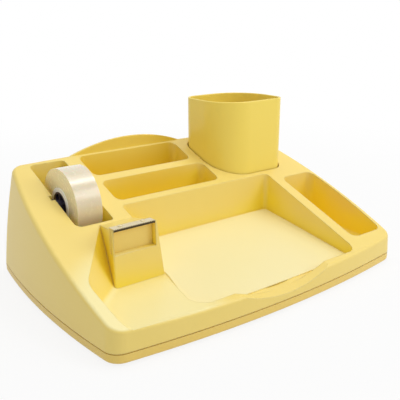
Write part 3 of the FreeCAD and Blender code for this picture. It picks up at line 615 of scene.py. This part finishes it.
# %% Steel finishes
def rolled_steel(name, bright, dull, roughness, front_dark=0.0):
    material, tree, shader = new_finish(name, Metallic=1.0)
    strokes = place_group(tree, rolled, Fineness=900.0, Roughness=roughness, Roughness_spread=0.18)
    corners = place_group(tree, dust, Reach=0.002, Amount=0.6)
    edges = place_group(tree, soft, Radius=0.0002)
    surface = add_node(tree, "ShaderNodeTexCoord")
    facing = add_node(tree, "ShaderNodeSeparateXYZ")
    # Faces that look forward are coloured dark brown by this mask.
    front = add_node(tree, "ShaderNodeMapRange", From_Min=-0.4, From_Max=-0.8, To_Max=front_dark)
    tree.links.new(surface.outputs["Normal"], facing.inputs["Vector"])
    tree.links.new(facing.outputs["Y"], front.inputs["Value"])
    tone = mix_colour(tree, strokes.outputs["Mask"], bright, dull)
    front_darkened = mix_colour(tree, front.outputs["Result"], tone, colour(58, 44, 24))
    soiled = mix_colour(tree, corners.outputs["Mask"], front_darkened, colour(70, 62, 50))
    relief = add_node(tree, "ShaderNodeBump", Strength=0.2, Distance=0.00002)
    tree.links.new(soiled, shader.inputs["Base Color"])
    tree.links.new(strokes.outputs["Roughness"], shader.inputs["Roughness"])
    tree.links.new(strokes.outputs["Mask"], relief.inputs["Height"])
    tree.links.new(edges.outputs["Normal"], relief.inputs["Normal"])
    tree.links.new(relief.outputs["Normal"], shader.inputs["Normal"])
    return material


blade_steel = rolled_steel(
    "blade_steel", colour(238, 228, 196), colour(206, 192, 152), 0.16, front_dark=0.95
)
rivet_steel = rolled_steel("rivet_steel", colour(232, 222, 190), colour(206, 192, 152), 0.22)
zinc = rolled_steel("zinc", colour(186, 188, 190), colour(150, 152, 156), 0.30)
primed_steel = rolled_steel("primed_steel", colour(70, 71, 74), colour(52, 53, 56), 0.55)
print("made:", blade_steel.name, rivet_steel.name, zinc.name, primed_steel.name)

# %% [markdown]
# ## Rubber feet
#
# Rubber is matt and slightly powdery, with a lighter bloom where it is handled.

# %% Rubber
foot_rubber = moulded_plastic(
    "foot_rubber",
    body=colour(46, 45, 44),
    second=colour(38, 37, 36),
    hollow_light_colour=colour(40, 39, 38),
    worn=colour(78, 76, 73),
    dirt=colour(96, 90, 82),
    roughness=0.78,
    edge=0.0006,
    grain_size=0.0009,
    bump=0.00008,
)
print("made:", foot_rubber.name)

# %% [markdown]
# ## Putting the finishes on the pieces
#
# The CAD nodes that are right as they are keep their mesh and only change material. Each one has
# its material in a slot of its object.

# %% Finishes for the CAD nodes
finishes = {
    "top_shell": shell_yellow,
    "base_plate": base_yellow,
    "base_screws": zinc,
    "ballast_plate": primed_steel,
    "ballast_screws": zinc,
    "foot_front_left": foot_rubber,
    "foot_front_right": foot_rubber,
    "foot_back_left": foot_rubber,
    "foot_back_right": foot_rubber,
    "pencil_cup": cup_yellow,
    "reel_axle": axle_dark,
    "reel_hub": hub_dark,
    "tape_core": core_white,
    "blade_carrier": carrier_yellow,
    "tape_blade": blade_steel,
    "blade_rivets": rivet_steel,
    "tray_mat": sheet_cream,
}
for node_name, finish in finishes.items():
    for material_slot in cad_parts[node_name].material_slots:
        material_slot.material = finish
print("finished nodes:", len(finishes))

# %% [markdown]
# ## The wound roll
#
# The solid model of the roll is a plain ring. On a real roll the layers don't line up exactly, so
# its side faces have low steps, and the loose end of the tape makes a small step across the
# outside. Both are real shape, so the roll is turned again here as a mesh: a profile of the
# cross-section is swept round the axle, and the outer radius drops by the film's thickness at the
# loose end. It stays inside the solid, so the solid's size is kept. Two waves of unrelated lengths,
# multiplied, look uneven and are the same every time. The right side starts further along them, so
# that the two sides differ.

# %% Cross-section of the roll
film_thickness = 0.00012
side_step = 0.00009
layer_steps = 22
half_width = (roll_high.x - roll_low.x) / 2


def side_offset(index):
    """How far one group of layers stands in from the side face, always the same for an index."""
    uneven = math.sin(index * 2.4) * math.cos(index * 0.9)
    return side_step * (1 + uneven)


wound_depth = roll_radius - core_radius
radii = [core_radius + wound_depth * i / layer_steps for i in range(layer_steps + 1)]
other_start = 7
left_side = [(-half_width + side_offset(i), radius) for i, radius in enumerate(radii)]
right_side = [(half_width - side_offset(i + other_start), radius) for i, radius in enumerate(radii)]
section = left_side + right_side[::-1]
print("points in the section:", len(section))

# %% Sweep the section round the axle
segments = 160
tail_angle = math.radians(-38)
mesh = bpy.data.meshes.new("wound_tape")
bm = bmesh.new()
columns = []
for step in range(segments):
    angle = tail_angle + 2 * math.pi * step / segments
    drop = film_thickness * (1 - step / segments)
    column = []
    for x, radius in section:
        outer = radius > radii[-2]
        reach = radius - drop if outer else radius
        across = reel_centre.y + reach * math.cos(angle)
        up = reel_centre.z + reach * math.sin(angle)
        column.append(bm.verts.new((reel_centre.x + x, across, up)))
    columns.append(column)
for first, second in zip(columns, columns[1:] + columns[:1]):
    for i in range(len(section)):
        j = (i + 1) % len(section)
        bm.faces.new((first[i], first[j], second[j], second[i]))
bmesh.ops.recalc_face_normals(bm, faces=bm.faces)
bm.to_mesh(mesh)
bm.free()
print("faces in the roll:", len(mesh.polygons))

# %% Place the roll
wound_tape = bpy.data.objects.new("wound_tape", mesh)
bpy.context.collection.objects.link(wound_tape)
mesh.materials.append(tape_film)
for polygon in mesh.polygons:
    polygon.use_smooth = True
mesh.set_sharp_from_angle(angle=math.radians(32))
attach(wound_tape, "reel")
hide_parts("tape_roll")
print("wound_tape stands for tape_roll")

# %% [markdown]
# ## Floor, light and camera
#
# A product picture of this kind has a white ground. The floor is plain and pale. For the camera it
# is mostly its own white, so that the picture's ground is even, and the rest is real shading, so
# that the object still throws a soft shadow. Glossy and transmitted rays see the same white.

# %% Rays that see the backdrop
def backdrop_rays(tree):
    """1 for camera, glossy and transmitted rays, 0 for the rays that light the object."""
    rays = add_node(tree, "ShaderNodeLightPath")
    direct = add_node(tree, "ShaderNodeMath", operation="MAXIMUM")
    every = add_node(tree, "ShaderNodeMath", operation="MAXIMUM")
    tree.links.new(rays.outputs["Is Camera Ray"], direct.inputs[0])
    tree.links.new(rays.outputs["Is Glossy Ray"], direct.inputs[1])
    tree.links.new(direct.outputs[0], every.inputs[0])
    tree.links.new(rays.outputs["Is Transmission Ray"], every.inputs[1])
    return every.outputs[0]


# %% Floor
floor_mesh = bpy.data.meshes.new("floor")
far = 6.0
corners = [(-far, -far, 0), (far, -far, 0), (far, far, 0), (-far, far, 0)]
floor_mesh.from_pydata(corners, [], [(0, 1, 2, 3)])
floor = bpy.data.objects.new("floor", floor_mesh)
bpy.context.collection.objects.link(floor)
floor_white, tree, shader = new_finish("floor_white", Roughness=0.9)
shader.inputs["Base Color"].default_value = (0.86, 0.86, 0.86, 1.0)
shader.inputs["Specular IOR Level"].default_value = 0.0
glow = add_node(tree, "ShaderNodeEmission", Strength=1.0)
place = add_node(tree, "ShaderNodeTexCoord")
from_middle = add_node(tree, "ShaderNodeVectorMath", operation="LENGTH")
fade = add_node(
    tree,
    "ShaderNodeMapRange",
    interpolation_type="SMOOTHSTEP",
    From_Min=0.2,
    From_Max=0.9,
    To_Min=0.86,
)
part = add_node(tree, "ShaderNodeMath", operation="MULTIPLY")
blend = add_node(tree, "ShaderNodeMixShader")
tree.links.new(place.outputs["Object"], from_middle.inputs[0])
tree.links.new(from_middle.outputs["Value"], fade.inputs["Value"])
tree.links.new(backdrop_rays(tree), part.inputs[0])
tree.links.new(fade.outputs["Result"], part.inputs[1])
tree.links.new(part.outputs[0], blend.inputs["Fac"])
tree.links.new(shader.outputs["BSDF"], blend.inputs[1])
tree.links.new(glow.outputs["Emission"], blend.inputs[2])
tree.links.new(blend.outputs[0], tree.nodes["Material Output"].inputs["Surface"])
floor_mesh.materials.append(floor_white)
print("floor:", floor.name)

# %% [markdown]
# The room is an even, soft light from all sides. Two large lamps give it direction: one above and
# one to the front right, so that the left side of the object is the darkest. A third, smaller one
# is high on the right, where the glossy tape mirrors it as a bright band.

# %% World
world = bpy.data.worlds.new("studio")
bpy.context.scene.world = world
world.use_nodes = True
tree = world.node_tree
room = tree.nodes["Background"]
room.inputs["Color"].default_value = (1.0, 1.0, 1.0, 1.0)
room.inputs["Strength"].default_value = 0.52
backdrop = add_node(tree, "ShaderNodeBackground", Strength=1.0)
backdrop.inputs["Color"].default_value = (1.0, 1.0, 1.0, 1.0)
blend = add_node(tree, "ShaderNodeMixShader")
tree.links.new(backdrop_rays(tree), blend.inputs["Fac"])
tree.links.new(room.outputs["Background"], blend.inputs[1])
tree.links.new(backdrop.outputs["Background"], blend.inputs[2])
tree.links.new(blend.outputs[0], tree.nodes["World Output"].inputs["Surface"])
print("world:", world.name)


# %% Lamps
def soft_lamp(name, place, target, size, power):
    data = bpy.data.lights.new(name, "AREA")
    data.shape = "DISK"
    data.size = size
    data.energy = power
    lamp = bpy.data.objects.new(name, data)
    bpy.context.collection.objects.link(lamp)
    lamp.location = place
    lamp.rotation_euler = (Vector(target) - Vector(place)).to_track_quat("-Z", "Y").to_euler()
    return lamp


middle = (0.0, 0.0, 0.05)
soft_lamp("top_lamp", place=(0.10, 0.10, 1.60), target=middle, size=1.2, power=6.0)
soft_lamp("front_right_lamp", place=(0.95, -1.10, 0.95), target=middle, size=1.0, power=7.0)
soft_lamp("band_lamp", place=(0.51, -0.17, 1.42), target=middle, size=0.4, power=2.0)
print("lamps:", len(bpy.data.lights))

# %% [markdown]
# The camera stands to the front left, a little above the object, and looks slightly down. The
# Standard view transform shows a colour as it is written.

# %% Camera
camera_data = bpy.data.cameras.new("camera")
camera = bpy.data.objects.new("camera", camera_data)
bpy.context.collection.objects.link(camera)
bpy.context.scene.camera = camera
camera_data.sensor_width = 36.0
camera_data.lens = 55.53
camera.location = (-0.3518, -0.4461, 0.2493)
looks_down = math.radians(17.55)
turned_right = math.radians(38.09)
camera.rotation_euler = (math.pi / 2 - looks_down, 0.0, -turned_right)
bpy.context.scene.view_settings.view_transform = "Standard"
print("camera at", [round(v, 3) for v in camera.location])
